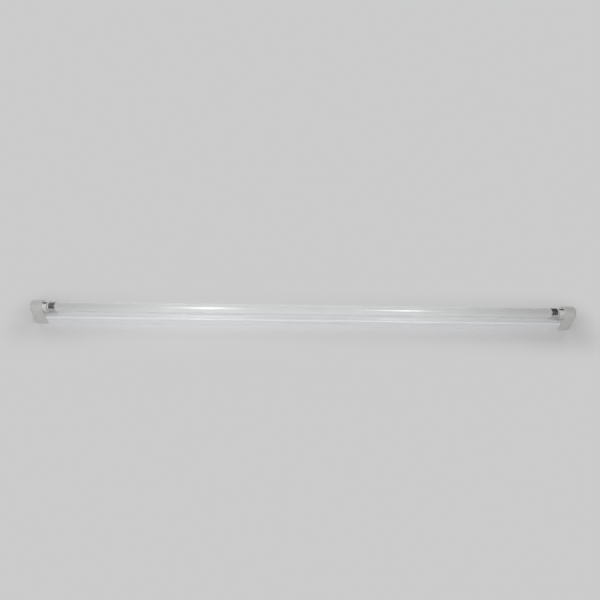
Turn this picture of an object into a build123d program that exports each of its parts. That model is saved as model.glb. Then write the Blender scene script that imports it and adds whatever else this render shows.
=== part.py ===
from build123d import *
import os
from math import radians, tan

# Slim linear fluorescent light for the underside of a cabinet, lying on its mounting face.
# X runs along the light, +Z points from the mounting face to the lamp, all sizes in millimetres.

# Overall length over the two end caps
fixture_length = 880.0

# Extruded channel
channel_width = 20.4
channel_wall = 1.4
channel_foot_round = 0.6
lip_width = 3.0
lip_thickness = 1.2
lip_round = 1.1
ledge_thickness = 0.9
clip_groove_height = 8.6
clip_groove_width = 1.6
clip_groove_depth = 0.6
port_wall = 1.05
port_merge = 0.3
rail_thickness = 0.8
rail_reach = 0.6

# Reflector cover that slides in under the lips
cover_thickness = 0.9
cover_rise = 2.2
cover_slide = 0.1
cover_side_gap = 0.2
cover_shoulder = 0.2
cover_end_gap = 0.1

# End caps
cap_length = 18.5
cap_overhang = 0.8
cap_wall = 1.6
cap_end_wall = 2.2
cap_edge_round = 1.8
cap_foot_round = 0.8
tongue_length = 8.0
tongue_thickness = 1.6
tongue_root = 5.0
tongue_gap = 0.2

# End cap screws, sunk in wells
screw_radius = 1.1
screw_clearance = 0.05
screw_head_radius = 2.1
screw_head_height = 1.6
screw_head_round = 0.7
screw_grip = 8.0
screw_seat = 4.0
screw_recess_width = 0.7
screw_recess_depth = 0.8
well_clearance = 0.2
well_wall = 1.2

# Power inlets
inlet_width = 13.0
inlet_height = 8.0
inlet_wall = 1.2
inlet_depth = 11.5
inlet_back = 1.5
inlet_corner = 1.5
inlet_flange = 1.0
inlet_window_gap = 0.1
inlet_tower_gap = 0.4
inlet_pin_radius = 0.8
inlet_pin_chamfer = 0.25
inlet_pin_pitch = 3.4
inlet_pin_tail = 3.5
inlet_mouth_depth = 4.4
pin_seat_gap = 0.03

# Lampholders
holder_fit = 0.2
holder_wall = 1.4
holder_proud = 7.0
holder_sill_gap = 0.2
holder_inlet_gap = 0.3
plate_thickness = 1.6
plate_edge_round = 0.5
entry_slot_gap = 1.6
contact_thickness = 0.4
contact_height = 4.0
contact_pin_gap = 0.25
contact_rotor_gap = 0.2
contact_tail_length = 4.0
contact_tail_width = 2.4
contact_tail_setback = 3.0
contact_post_length = 3.0
contact_post_wall = 0.6
contact_seat_gap = 0.05

# Rotors
rotor_head_radius = 7.4
rotor_head_thickness = 1.2
rotor_head_gap = 1.0
rotor_neck_radius = 5.6
rotor_flange_radius = 6.6
rotor_flange_thickness = 0.8
rotor_play = 0.2
rotor_running_gap = 0.05
rotor_slot_gap = 0.3

# Lamp
lamp_radius = 7.9
lamp_glass_wall = 0.8
lamp_neck_radius = 7.4
lamp_neck_length = 7.0
lamp_cap_radius = 8.05
lamp_cap_wall = 0.35
lamp_cap_length = 10.0
lamp_cap_edge_round = 0.25
lamp_cap_hole = 5.0
lamp_reflector_gap = 6.7
lamp_rotor_gap = 0.3
lamp_seal_gap = 0.1
insulator_thickness = 1.2
insulator_rim = 2.0
lamp_pin_radius = 1.18
lamp_pin_pitch = 4.75
lamp_pin_length = 7.1
lamp_pin_round = 0.5
stem_disc = 1.4
stem_radius = 2.2
stem_length = 18.0
cathode_lead_radius = 0.35
cathode_lead_pitch = 3.0
cathode_lead_length = 7.0
cathode_coil_radius = 0.6
cathode_coil_overhang = 1.2

# Ballast board and what it stands on
board_length = 210.0
board_thickness = 1.4
board_side_gap = 0.3
board_slide = 0.2
board_setback = 26.5
liner_thickness = 0.4
liner_height = 1.8
liner_side_gap = 0.2
pad_length = 8.0
pad_width = 7.0
pad_inset = 30.0

# Ballast components, with the room that the tallest needs under the cover
component_room = 7.6
seat_gap = 0.05
terminal_length = 8.0
terminal_side_gap = 0.2
terminal_height = 5.0
terminal_hole_height = 2.5
terminal_hole_depth = 4.0
terminal_inset = 1.0
inner_hole_pitch = 1.9
outer_hole_pitch = 5.4
wire_hole_gap = 0.1
fuse_radius = 1.8
fuse_length = 12.0
fuse_ferrule = 3.0
side_row = 3.4
varistor_radius = 2.9
varistor_thickness = 3.0
line_choke_radius = 3.6
line_choke_waist = 2.6
line_choke_height = 6.6
line_choke_rim = 1.2
diode_radius = 1.3
diode_length = 5.0
diode_pitch = 4.5
diode_end_gap = 1.0
smoothing_radius = 3.5
smoothing_length = 18.0
smoothing_groove_place = 0.8
smoothing_groove_width = 0.8
smoothing_groove_depth = 0.4
toroid_radius = 4.4
toroid_hole = 2.0
toroid_height = 4.0
transistor_width = 4.6
transistor_depth = 3.6
transistor_height = 5.2
transistor_pitch = 9.0
choke_core_length = 16.0
choke_core_width = 13.0
choke_core_height = 4.2
choke_core_leg = 2.0
choke_centre_leg = 4.0
choke_coil_length = 10.4
choke_coil_height = 6.0
choke_coil_gap = 0.2
film_length = 11.0
film_width = 4.6
film_height = 6.4
film_round = 0.6
coupling_length = 7.0
coupling_width = 3.2
coupling_height = 5.4
coupling_pitch = 7.0
resistor_radius = 0.9
resistor_length = 4.0
resistor_row_gap = 2.0
resistor_pitch = 5.0

# Internal wires, and the runs between the bends of their routes
mains_wire_radius = 0.8
lamp_wire_radius = 0.6
wire_floor_gap = 0.1
wire_bend_share = 0.45
earth_lane = 0.0
mains_lane = 1.9
lamp_lane = 3.5
riser_lane = 6.0
wire_entry = 3.0
terminal_run = 8.0
inlet_run = 6.0
climb_start = 24.0
climb_end = 10.0
tab_drop_start = 2.5
tab_drop_end = 5.5
tab_exit_run = 3.0
tab_exit_drop = 6.0
ledge_drop_start = 10.0
ledge_drop_end = 24.0
ledge_lane_end = 16.0
lamp_climb_start = 17.0
lamp_climb_middle = 9.0
lamp_climb_end = 2.0
lamp_climb_clear = 1.0
riser_clear = 1.5

# Earth tab, riveted flush with the mounting face
tab_length = 11.0
tab_width = 4.8
tab_thickness = 0.8
tab_post_height = 3.6
tab_setback = 5.5
rivet_radius = 1.2
rivet_head_radius = 2.2
rivet_head_depth = 0.9
rivet_dome_radius = 1.9
rivet_dome_height = 0.7
rivet_gap = 0.05
rivet_inset = 3.0

# Places that follow from the sizes above
light_end = fixture_length / 2
cap_inner = light_end - cap_length
channel_half = channel_width / 2
channel_inner = channel_half - channel_wall
lip_inner = channel_half - lip_width
port_bore = screw_radius + screw_clearance
port_radius = port_bore + port_wall
port_y = channel_inner - port_radius + port_merge
port_z = channel_wall + port_radius - port_merge
board_bottom = port_z + port_radius
board_top = board_bottom + board_thickness
rail_bottom = board_top + board_slide
rail_top = rail_bottom + rail_thickness
cover_crown = board_top + component_room + cover_thickness
cover_flange_top = cover_crown - cover_rise
cover_flange_bottom = cover_flange_top - cover_thickness
lip_bottom = cover_flange_top + cover_slide
channel_height = lip_bottom + lip_thickness
ledge_top = cover_flange_bottom - cover_slide
ledge_bottom = ledge_top - ledge_thickness
cover_arch_half = lip_inner - cover_shoulder
cover_radius = (cover_arch_half**2 + cover_rise**2) / (2 * cover_rise)
cover_arch_centre = cover_crown - cover_radius
lamp_axis = cover_crown + lamp_reflector_gap + lamp_radius
cap_half = channel_half + cap_overhang
cap_inner_half = cap_half - cap_wall
cap_wall_face = light_end - cap_end_wall
well_radius = screw_head_radius + well_clearance
tower_radius = well_radius + well_wall
inlet_axis = port_z + tower_radius + inlet_tower_gap + inlet_flange + inlet_height / 2
inlet_back_face = light_end - inlet_depth - inlet_back
pin_tail_end = inlet_back_face - inlet_pin_tail
holder_half = cap_inner_half - holder_fit
holder_cavity = holder_half - holder_wall
holder_sill = cover_flange_top + holder_sill_gap
holder_inner_foot = inlet_axis + inlet_height / 2 + inlet_flange + holder_inlet_gap
plate_front = cap_inner - holder_proud
plate_back = plate_front + plate_thickness
rotor_front = plate_front - rotor_head_gap - rotor_head_thickness
rotor_flange_front = plate_back + rotor_play
rotor_back = rotor_flange_front + rotor_flange_thickness
lamp_face = rotor_front - lamp_rotor_gap
lamp_cap_start = lamp_face - lamp_cap_length
pin_y = lamp_pin_pitch / 2
pin_reach = pin_y + lamp_pin_radius
contact_y = pin_reach + contact_pin_gap
contact_front = rotor_back + contact_rotor_gap
contact_tail_x = cap_inner + contact_tail_setback
contact_tail_foot = lamp_axis - contact_height / 2 - contact_tail_length
board_left = -cap_inner + board_setback
board_right = board_left + board_length
terminal_half = lip_inner - terminal_side_gap
terminal_left = board_left + terminal_inset
terminal_right = board_right - terminal_inset
hole_z = board_top + terminal_hole_height
lane_z = channel_wall + mains_wire_radius + wire_floor_gap
lamp_lane_z = channel_wall + lamp_wire_radius + wire_floor_gap
ledge_lane_z = board_bottom + lamp_wire_radius + wire_floor_gap
liner_bottom = channel_wall + liner_height
tab_left = -cap_inner + tab_setback
tab_right = tab_left + tab_length
rivet_x = tab_left + rivet_inset

# The ballast components stand in a row between the two terminal blocks, evenly spread
component_lengths = {
    "fuse": fuse_length,
    "line_filter_choke": 2 * line_choke_radius,
    "rectifier_diodes": diode_pitch + 2 * diode_radius,
    "smoothing_capacitor": smoothing_length,
    "drive_transformer": 2 * toroid_radius,
    "switching_transistors": transistor_pitch + transistor_width,
    "lamp_choke": choke_core_length,
    "resonant_capacitor": film_length,
    "coupling_capacitors": coupling_length,
    "resistors": 2 * resistor_length + resistor_row_gap,
}
row_start = terminal_left + terminal_length
row_end = terminal_right - terminal_length
row_spare = row_end - row_start - sum(component_lengths.values())
component_gap = row_spare / (len(component_lengths) + 1)
component_start = {}
next_start = row_start + component_gap
for component, length in component_lengths.items():
    component_start[component] = next_start
    next_start += length + component_gap


def block(x0, x1, y0, y1, z0, z1):
    """A box between two corners."""
    centre = Pos((x0 + x1) / 2, (y0 + y1) / 2, (z0 + z1) / 2)
    return centre * Box(x1 - x0, y1 - y0, z1 - z0)


def rod(x0, x1, y, z, radius):
    """A round bar along X."""
    return Pos((x0 + x1) / 2, y, z) * Rot(0, 90, 0) * Cylinder(radius, x1 - x0)


def post(x, y, z0, z1, radius):
    """A round bar along Z."""
    return Pos(x, y, (z0 + z1) / 2) * Cylinder(radius, z1 - z0)


def cross_rod(x, y, z, radius, length):
    """A round bar along Y, centred on its point."""
    return Pos(x, y, z) * Rot(90, 0, 0) * Cylinder(radius, length)


def along_x(outline, x0, x1):
    """An outline drawn in Y and Z, carried along X."""
    return extrude(Plane.YZ.offset(x0) * outline, amount=x1 - x0)


def rectangle(y0, y1, z0, z1):
    """A rectangle in the Y and Z plane."""
    return Pos((y0 + y1) / 2, (z0 + z1) / 2) * Rectangle(y1 - y0, z1 - z0)


def both_sides(outline):
    """An outline and its mirror image across the middle of the light."""
    return outline + mirror(outline, about=Plane.YZ)


def arch(half, foot, foot_round=0.0):
    """Arch-topped outline: flat foot, upright sides and a half-round top about the lamp axis."""
    sides = Polyline((-half, lamp_axis), (-half, foot), (half, foot), (half, lamp_axis))
    top = ThreePointArc((half, lamp_axis), (0, lamp_axis + half), (-half, lamp_axis))
    outline = make_face(sides + top)
    if foot_round > 0:
        outline = fillet(outline.vertices().group_by(Axis.Y)[0], foot_round)
    return outline


def group(*solids):
    """Separate solids kept together in one node."""
    return Compound([solid for shape in solids for solid in shape.solids()])


def channel_piece():
    """Extruded channel with lips, cover ledges, board rails, screw ports and clip grooves."""
    outline = rectangle(-channel_half, channel_half, 0, channel_height)
    top_corners = outline.vertices().group_by(Axis.Y)[-1]
    outline = fillet(top_corners, lip_round)
    outline = fillet(outline.vertices().group_by(Axis.Y)[0], channel_foot_round)
    outline -= rectangle(-channel_inner, channel_inner, channel_wall, lip_bottom)
    outline -= rectangle(-lip_inner, lip_inner, lip_bottom, channel_height)
    outline += both_sides(rectangle(lip_inner, channel_inner, ledge_bottom, ledge_top))
    rail_inner = channel_inner - rail_reach
    outline += both_sides(rectangle(rail_inner, channel_inner, rail_bottom, rail_top))
    outline += both_sides(Pos(port_y, port_z) * Circle(port_radius))
    outline -= both_sides(Pos(port_y, port_z) * Circle(port_bore))
    groove_low = clip_groove_height - clip_groove_width / 2
    groove_high = clip_groove_height + clip_groove_width / 2
    groove_floor = channel_half - clip_groove_depth
    outline -= both_sides(rectangle(groove_floor, channel_half, groove_low, groove_high))
    body = along_x(outline, -cap_inner, cap_inner)
    body -= post(rivet_x, earth_lane, 0, channel_wall, rivet_radius + rivet_gap)
    return body - rivet_sink(rivet_gap)


def rivet_sink(gap):
    """The countersunk head of the earth rivet, or its sink in the channel floor."""
    head = Cone(rivet_head_radius + gap, rivet_radius + gap, rivet_head_depth)
    return Pos(rivet_x, earth_lane, rivet_head_depth / 2) * head


def cover_piece():
    """Arched reflector strip with a flat flange at each edge."""
    flange = channel_inner - cover_side_gap
    inner_radius = cover_radius - cover_thickness
    drop = cover_flange_bottom - cover_arch_centre
    inner_half = (inner_radius**2 - drop**2) ** 0.5
    outer_start = (-cover_arch_half, cover_flange_top)
    outer_end = (cover_arch_half, cover_flange_top)
    inner_start = (inner_half, cover_flange_bottom)
    inner_end = (-inner_half, cover_flange_bottom)
    edges = ThreePointArc(outer_start, (0, cover_crown), outer_end)
    edges += Polyline(
        outer_end, (flange, cover_flange_top), (flange, cover_flange_bottom), inner_start
    )
    edges += ThreePointArc(inner_start, (0, cover_crown - cover_thickness), inner_end)
    edges += Polyline(
        inner_end, (-flange, cover_flange_bottom), (-flange, cover_flange_top), outer_start
    )
    half_length = cap_inner - cover_end_gap
    return along_x(make_face(edges), -half_length, half_length)


def end_cap():
    """Hollow arch-topped cap with screw wells, an inlet window and tongues into the channel."""
    shell = along_x(arch(cap_half, 0, cap_foot_round), cap_inner, light_end)
    rim = shell.faces().sort_by(Axis.X)[-1].edges()
    outer = fillet(rim, cap_edge_round)
    body = outer - along_x(arch(cap_inner_half, cap_wall), cap_inner, cap_wall_face)
    tongue_low = rail_top + tongue_gap
    tongue_high = ledge_bottom - tongue_gap
    tongue_outer = channel_inner - tongue_gap
    tongue_inner = tongue_outer - tongue_thickness
    for side in (-1, 1):
        tower = rod(cap_inner, light_end, side * port_y, port_z, tower_radius)
        body += tower & outer
        reach = sorted((side * tongue_inner, side * tongue_outer))
        root = sorted((side * tongue_inner, side * (cap_inner_half + cap_wall / 2)))
        body += block(
            cap_inner - tongue_length, cap_inner, reach[0], reach[1], tongue_low, tongue_high
        )
        body += block(
            cap_inner, cap_inner + tongue_root, root[0], root[1], tongue_low, tongue_high
        )
        seat = cap_inner + screw_seat
        body -= rod(seat, light_end, side * port_y, port_z, well_radius)
        body -= rod(cap_inner, seat, side * port_y, port_z, screw_radius + well_clearance)
    window = inlet_outline(inlet_window_gap)
    return body - along_x(window, cap_wall_face, light_end)


def cap_screws():
    """Two pan-head screws that hold one end cap to the channel's screw ports."""
    seat = cap_inner + screw_seat
    screws = []
    for side in (-1, 1):
        shank = rod(cap_inner - screw_grip, seat, side * port_y, port_z, screw_radius)
        head_end = seat + screw_head_height
        head = rod(seat, head_end, side * port_y, port_z, screw_head_radius)
        head = fillet(head.faces().sort_by(Axis.X)[-1].edges(), screw_head_round)
        floor = head_end - screw_recess_depth
        half = screw_recess_width / 2
        arm = screw_head_radius - screw_recess_width
        middle = side * port_y
        head -= block(floor, head_end, middle - arm, middle + arm, port_z - half, port_z + half)
        head -= block(floor, head_end, middle - half, middle + half, port_z - arm, port_z + arm)
        screws.append(shank + head)
    return group(*screws)


def inlet_outline(gap):
    """Rounded outline of the inlet, or of something a gap larger or smaller."""
    outline = RectangleRounded(inlet_width + 2 * gap, inlet_height + 2 * gap, inlet_corner + gap)
    return Pos(0, inlet_axis) * outline


def inlet_pin_places():
    """The three pins' places across the light: live, earth and neutral."""
    return (-inlet_pin_pitch, 0, inlet_pin_pitch)


def inlet():
    """Insert with a recess for the lead's connector and a flange behind the cap's end wall."""
    body = along_x(inlet_outline(0), inlet_back_face, light_end)
    flange = along_x(inlet_outline(inlet_flange), cap_wall_face - inlet_flange, cap_wall_face)
    body += flange
    body -= along_x(inlet_outline(-inlet_wall), light_end - inlet_depth, light_end)
    hole = inlet_pin_radius + pin_seat_gap
    for y in inlet_pin_places():
        body -= rod(inlet_back_face, light_end - inlet_depth, y, inlet_axis, hole)
    return body


def inlet_pins():
    """Three round pins through the back of the inlet, with tails for the wires."""
    tip = light_end - inlet_mouth_depth
    pins = []
    for y in inlet_pin_places():
        pin = rod(pin_tail_end, tip, y, inlet_axis, inlet_pin_radius)
        end = pin.faces().sort_by(Axis.X)[-1].edges()
        pins.append(chamfer(end, inlet_pin_chamfer))
    return group(*pins)


def entry_slot(x0, x1):
    """Slot from the rotor up to the top of the holder, through which the lamp pins drop in."""
    half = lamp_pin_radius + entry_slot_gap / 2
    return block(x0, x1, -half, half, lamp_axis, lamp_axis + cap_half)


def holder_face():
    """Round face plate with the rotor's bore and the pin entry slot."""
    plate = rod(plate_front, plate_back, 0, lamp_axis, holder_half)
    plate = fillet(plate.faces().sort_by(Axis.X)[0].edges(), plate_edge_round)
    plate -= rod(plate_front, plate_back, 0, lamp_axis, rotor_neck_radius + rotor_running_gap)
    return plate - entry_slot(plate_front, plate_back)


def lampholder():
    """Holder behind the face plate: an arch-topped shell that fills the cap's upper part, and a barrel.

    The shell's front wall is flush with the cap's rim and goes down to a sill just above the cover's edges.
    """
    cavity_start = cap_inner + holder_wall
    cavity_end = cap_wall_face - holder_wall
    body = along_x(arch(holder_half, holder_inner_foot), cap_inner, cap_wall_face)
    body += block(cap_inner, cavity_start, -holder_half, holder_half, holder_sill, holder_inner_foot)
    body += rod(plate_back, cap_inner, 0, lamp_axis, holder_half)
    body -= along_x(arch(holder_cavity, 0), cavity_start, cavity_end)
    body -= rod(plate_back, cavity_start, 0, lamp_axis, holder_cavity)
    body -= entry_slot(plate_back, cap_inner)
    post_half = contact_height / 2 + contact_post_wall
    seat_half = contact_height / 2 + contact_seat_gap
    for side in (-1, 1):
        walls = (contact_y - contact_post_wall, contact_y + contact_thickness + contact_post_wall)
        slot = (contact_y - contact_seat_gap, contact_y + contact_thickness + contact_seat_gap)
        outer = sorted(side * y for y in walls)
        inner = sorted(side * y for y in slot)
        low, high = lamp_axis - post_half, lamp_axis + post_half
        front = cavity_end - contact_post_length
        body += block(front, cavity_end, outer[0], outer[1], low, high)
        low, high = lamp_axis - seat_half, lamp_axis + seat_half
        body -= block(front, cavity_end, inner[0], inner[1], low, high)
    return body


def lamp_contacts():
    """Two flat contact springs beside the lamp pins, each with a tail for its wire."""
    springs = []
    back = cap_wall_face - holder_wall
    low, high = lamp_axis - contact_height / 2, lamp_axis + contact_height / 2
    half_tail = contact_tail_width / 2
    for side in (-1, 1):
        reach = sorted((side * contact_y, side * (contact_y + contact_thickness)))
        spring = block(contact_front, back, reach[0], reach[1], low, high)
        tail_start = contact_tail_x - half_tail
        tail_end = contact_tail_x + half_tail
        spring += block(tail_start, tail_end, reach[0], reach[1], contact_tail_foot, lamp_axis)
        springs.append(spring)
    return group(*springs)


def rotor():
    """Slotted rotor: a head outside the face plate, a neck in its bore and a flange behind it."""
    body = rod(rotor_front, rotor_front + rotor_head_thickness, 0, lamp_axis, rotor_head_radius)
    body += rod(rotor_front, rotor_back, 0, lamp_axis, rotor_neck_radius)
    body += rod(rotor_flange_front, rotor_back, 0, lamp_axis, rotor_flange_radius)
    half = lamp_pin_radius + rotor_slot_gap / 2
    mouth = rotor_head_radius + rotor_head_gap
    body -= block(rotor_front, rotor_back, -pin_y, mouth, lamp_axis - half, lamp_axis + half)
    return body - rod(rotor_front, rotor_back, -pin_y, lamp_axis, half)


def lamp_tube():
    """Coated glass tube, necked at both ends to go into its caps."""
    neck_start = lamp_cap_start + lamp_seal_gap
    neck_end = neck_start + lamp_neck_length
    shoulder = lamp_cap_start - lamp_seal_gap
    tube = rod(-shoulder, shoulder, 0, lamp_axis, lamp_radius)
    tube += rod(-neck_end, neck_end, 0, lamp_axis, lamp_neck_radius)
    return tube - rod(-neck_end, neck_end, 0, lamp_axis, lamp_neck_radius - lamp_glass_wall)


def lamp_cap():
    """Drawn aluminium cup over the end of the glass, open in the middle for its insulator."""
    cup = rod(lamp_cap_start, lamp_face, 0, lamp_axis, lamp_cap_radius)
    cup = fillet(cup.faces().sort_by(Axis.X)[-1].edges(), lamp_cap_edge_round)
    inside = lamp_cap_radius - lamp_cap_wall
    cup -= rod(lamp_cap_start, lamp_face - lamp_cap_wall, 0, lamp_axis, inside)
    return cup - rod(lamp_cap_start, lamp_face, 0, lamp_axis, lamp_cap_hole)


def lamp_pin_places():
    """The two pins' places across the light when the lamp is locked."""
    return (-pin_y, pin_y)


def lamp_insulator():
    """Insulating disc that sits in the cap's hole and carries the pins."""
    back = lamp_face - lamp_cap_wall - insulator_thickness
    disc = rod(back, lamp_face - lamp_cap_wall, 0, lamp_axis, lamp_cap_hole + insulator_rim)
    disc += rod(back, lamp_face, 0, lamp_axis, lamp_cap_hole - pin_seat_gap)
    for y in lamp_pin_places():
        disc -= rod(back, lamp_face, y, lamp_axis, lamp_pin_radius + pin_seat_gap)
    return disc


def lamp_pins():
    """Two round contact pins with rounded tips."""
    start = lamp_face - lamp_cap_wall - insulator_thickness
    pins = []
    for y in lamp_pin_places():
        pin = rod(start, lamp_face + lamp_pin_length, y, lamp_axis, lamp_pin_radius)
        pins.append(fillet(pin.faces().sort_by(Axis.X)[-1].edges(), lamp_pin_round))
    return group(*pins)


def stem_face():
    """Where the stem's sealing disc ends inside the neck of the tube."""
    return lamp_cap_start + lamp_seal_gap + lamp_neck_length


def lamp_stem():
    """Glass disc that seals the tube, with the stem that carries the cathode."""
    inside = lamp_neck_radius - lamp_glass_wall - lamp_seal_gap
    disc = rod(stem_face() - stem_disc, stem_face(), 0, lamp_axis, inside)
    return disc + rod(stem_face() - stem_length, stem_face(), 0, lamp_axis, stem_radius)


def cathode():
    """Heater coil across two lead wires that stand on the stem."""
    base = stem_face() - stem_length
    tip = base - cathode_lead_length
    half = cathode_lead_pitch / 2
    coil_length = cathode_lead_pitch + 2 * cathode_coil_overhang
    body = cross_rod(tip, 0, lamp_axis, cathode_coil_radius, coil_length)
    for y in (-half, half):
        body += rod(tip, base, y, lamp_axis, cathode_lead_radius)
    return body


def board():
    """Circuit board that slides between the screw ports and the rails."""
    half = channel_inner - board_side_gap
    return block(board_left, board_right, -half, half, board_bottom, board_top)


def liner():
    """Insulating strip between the board's solder side and the wires below it."""
    half = port_y - port_radius - liner_side_gap
    return block(
        board_left, board_right, -half, half, liner_bottom, liner_bottom + liner_thickness
    )


def pads():
    """Two foam pads between the liner and the board."""
    low = liner_bottom + liner_thickness
    half = pad_width / 2
    places = (board_left + pad_inset, board_right - pad_inset - pad_length)
    return group(*[block(x, x + pad_length, -half, half, low, board_bottom) for x in places])


def terminal_block(x0, x1, mouth, radii):
    """Terminal block with four wire holes in the face at mouth, inner pair then outer pair."""
    top = board_top + terminal_height
    body = block(x0, x1, -terminal_half, terminal_half, board_top, top)
    inward = 1 if mouth == x0 else -1
    ends = sorted((mouth, mouth + inward * terminal_hole_depth))
    for pitch, radius in zip((inner_hole_pitch, outer_hole_pitch), radii):
        for side in (-1, 1):
            body -= rod(ends[0], ends[1], side * pitch, hole_z, radius + wire_hole_gap)
    return body


def mains_terminal():
    """Four-way block for the incoming and the through-going supply wires."""
    ends = (terminal_left, terminal_left + terminal_length)
    return terminal_block(*ends, ends[0], (mains_wire_radius, mains_wire_radius))


def lamp_terminal():
    """Four-way block for the wires to the two lampholders."""
    ends = (terminal_right - terminal_length, terminal_right)
    return terminal_block(*ends, ends[1], (lamp_wire_radius, lamp_wire_radius))


def fuse(x):
    """Tube fuse with an end ferrule at each end, lying on the board."""
    z = board_top + fuse_radius + seat_gap
    end = x + fuse_length
    body = rod(x, end, -side_row, z, fuse_radius - seat_gap)
    body += rod(x, x + fuse_ferrule, -side_row, z, fuse_radius)
    return body + rod(end - fuse_ferrule, end, -side_row, z, fuse_radius)


def varistor(x):
    """Round surge protector standing on edge beside the fuse, at its middle."""
    z = board_top + varistor_radius + seat_gap
    return cross_rod(x + fuse_length / 2, side_row, z, varistor_radius, varistor_thickness)


def line_choke(x):
    """Drum choke of the mains filter, waisted between two rims."""
    top = board_top + line_choke_height
    middle = x + line_choke_radius
    body = post(middle, 0, board_top, top, line_choke_waist)
    body += post(middle, 0, board_top, board_top + line_choke_rim, line_choke_radius)
    return body + post(middle, 0, top - line_choke_rim, top, line_choke_radius)


def diodes(x):
    """Four rectifier diodes lying across the board in two rows, end to end in each row."""
    z = board_top + diode_radius + seat_gap
    row_y = (diode_length + diode_end_gap) / 2
    bodies = []
    for row_x in (x + diode_radius, x + diode_radius + diode_pitch):
        for side in (-1, 1):
            bodies.append(cross_rod(row_x, side * row_y, z, diode_radius, diode_length))
    return group(*bodies)


def smoothing_capacitor(x):
    """Electrolytic capacitor lying along the board, with the rolled groove near its end."""
    z = board_top + smoothing_radius + seat_gap
    body = rod(x, x + smoothing_length, 0, z, smoothing_radius)
    groove = x + smoothing_groove_place
    groove_end = groove + smoothing_groove_width
    ring = rod(groove, groove_end, 0, z, smoothing_radius)
    ring -= rod(groove, groove_end, 0, z, smoothing_radius - smoothing_groove_depth)
    return body - ring


def drive_transformer(x):
    """Small ring transformer that drives the transistors."""
    middle = x + toroid_radius
    ring = post(middle, 0, board_top, board_top + toroid_height, toroid_radius)
    return ring - post(middle, 0, board_top, board_top + toroid_height, toroid_hole)


def transistors(x):
    """Two flat-fronted switching transistors."""
    half = transistor_width / 2
    top = board_top + transistor_height
    bodies = []
    for start in (x, x + transistor_pitch):
        round_part = post(start + half, 0, board_top, top, half)
        flat = block(start, start + transistor_depth, -half, half, board_top, top)
        bodies.append(round_part & flat)
    return group(*bodies)


def choke_core_middle():
    """Height of the lamp choke's core above the mounting face, at its middle."""
    return board_top + choke_coil_height / 2


def choke_core(x):
    """Ferrite core of the lamp choke: two outer legs and a centre leg between two yokes."""
    low = choke_core_middle() - choke_core_height / 2
    high = choke_core_middle() + choke_core_height / 2
    half = choke_core_width / 2
    body = block(x, x + choke_core_length, -half, half, low, high)
    window = sorted((choke_centre_leg / 2, half - choke_core_leg))
    ends = (x + choke_core_leg, x + choke_core_length - choke_core_leg)
    for side in (-1, 1):
        reach = sorted(side * y for y in window)
        body -= block(ends[0], ends[1], reach[0], reach[1], low, high)
    return body


def choke_coil(x):
    """Winding round the centre leg of the lamp choke, standing on the board."""
    start = x + (choke_core_length - choke_coil_length) / 2
    end = start + choke_coil_length
    half = choke_core_width / 2 - choke_core_leg - choke_coil_gap
    hole_half = choke_centre_leg / 2 + choke_coil_gap
    hole_low = choke_core_middle() - choke_core_height / 2 - choke_coil_gap
    hole_high = choke_core_middle() + choke_core_height / 2 + choke_coil_gap
    coil = block(start, end, -half, half, board_top, board_top + choke_coil_height)
    return coil - block(start, end, -hole_half, hole_half, hole_low, hole_high)


def film_capacitor(x, y, length, width, height):
    """Boxed film capacitor with rounded top edges, standing on the board."""
    half = width / 2
    body = block(x, x + length, y - half, y + half, board_top, board_top + height)
    return fillet(body.faces().sort_by(Axis.Z)[-1].edges(), film_round)


def resonant_capacitor(x):
    """Capacitor across the lamp that sets the ballast's resonance."""
    return film_capacitor(x, 0, film_length, film_width, film_height)


def coupling_capacitors(x):
    """Two smaller film capacitors beside each other."""
    places = (-coupling_pitch / 2, coupling_pitch / 2)
    return group(
        *[film_capacitor(x, y, coupling_length, coupling_width, coupling_height) for y in places]
    )


def resistors(x):
    """Four small resistors in two rows along the board."""
    z = board_top + resistor_radius + seat_gap
    bodies = []
    for start in (x, x + resistor_length + resistor_row_gap):
        for side in (-1, 1):
            y = side * resistor_pitch
            bodies.append(rod(start, start + resistor_length, y, z, resistor_radius))
    return group(*bodies)


def earth_tab():
    """Brass strip on the channel floor with a post that both earth wires meet."""
    half = tab_width / 2
    top = channel_wall + tab_thickness
    body = block(tab_left, tab_right, -half, half, channel_wall, top)
    post_top = top + tab_post_height
    body += block(tab_right - tab_thickness, tab_right, -half, half, channel_wall, post_top)
    return body - post(rivet_x, earth_lane, channel_wall, top, rivet_radius + rivet_gap)


def earth_rivet():
    """Rivet through the tab and the floor, with its head sunk flush in the mounting face."""
    top = channel_wall + tab_thickness
    body = rivet_sink(0) + post(rivet_x, earth_lane, 0, top, rivet_radius)
    return body + post(rivet_x, earth_lane, top, top + rivet_dome_height, rivet_dome_radius)


def wire(points, radius):
    """Round wire along straight runs joined by tangent arcs, each as large as its runs allow."""
    corners = [Vector(*point) for point in points]
    radii = []
    for before, corner, after in zip(corners, corners[1:], corners[2:]):
        turn = radians((corner - before).get_angle(after - corner))
        shorter = min((corner - before).length, (after - corner).length)
        radii.append(wire_bend_share * shorter / tan(turn / 2))
    path = FilletPolyline(*corners, radius=radii)
    start = Plane(path @ 0, z_dir=path % 0)
    return sweep(start * Circle(radius), path=path)


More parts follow.
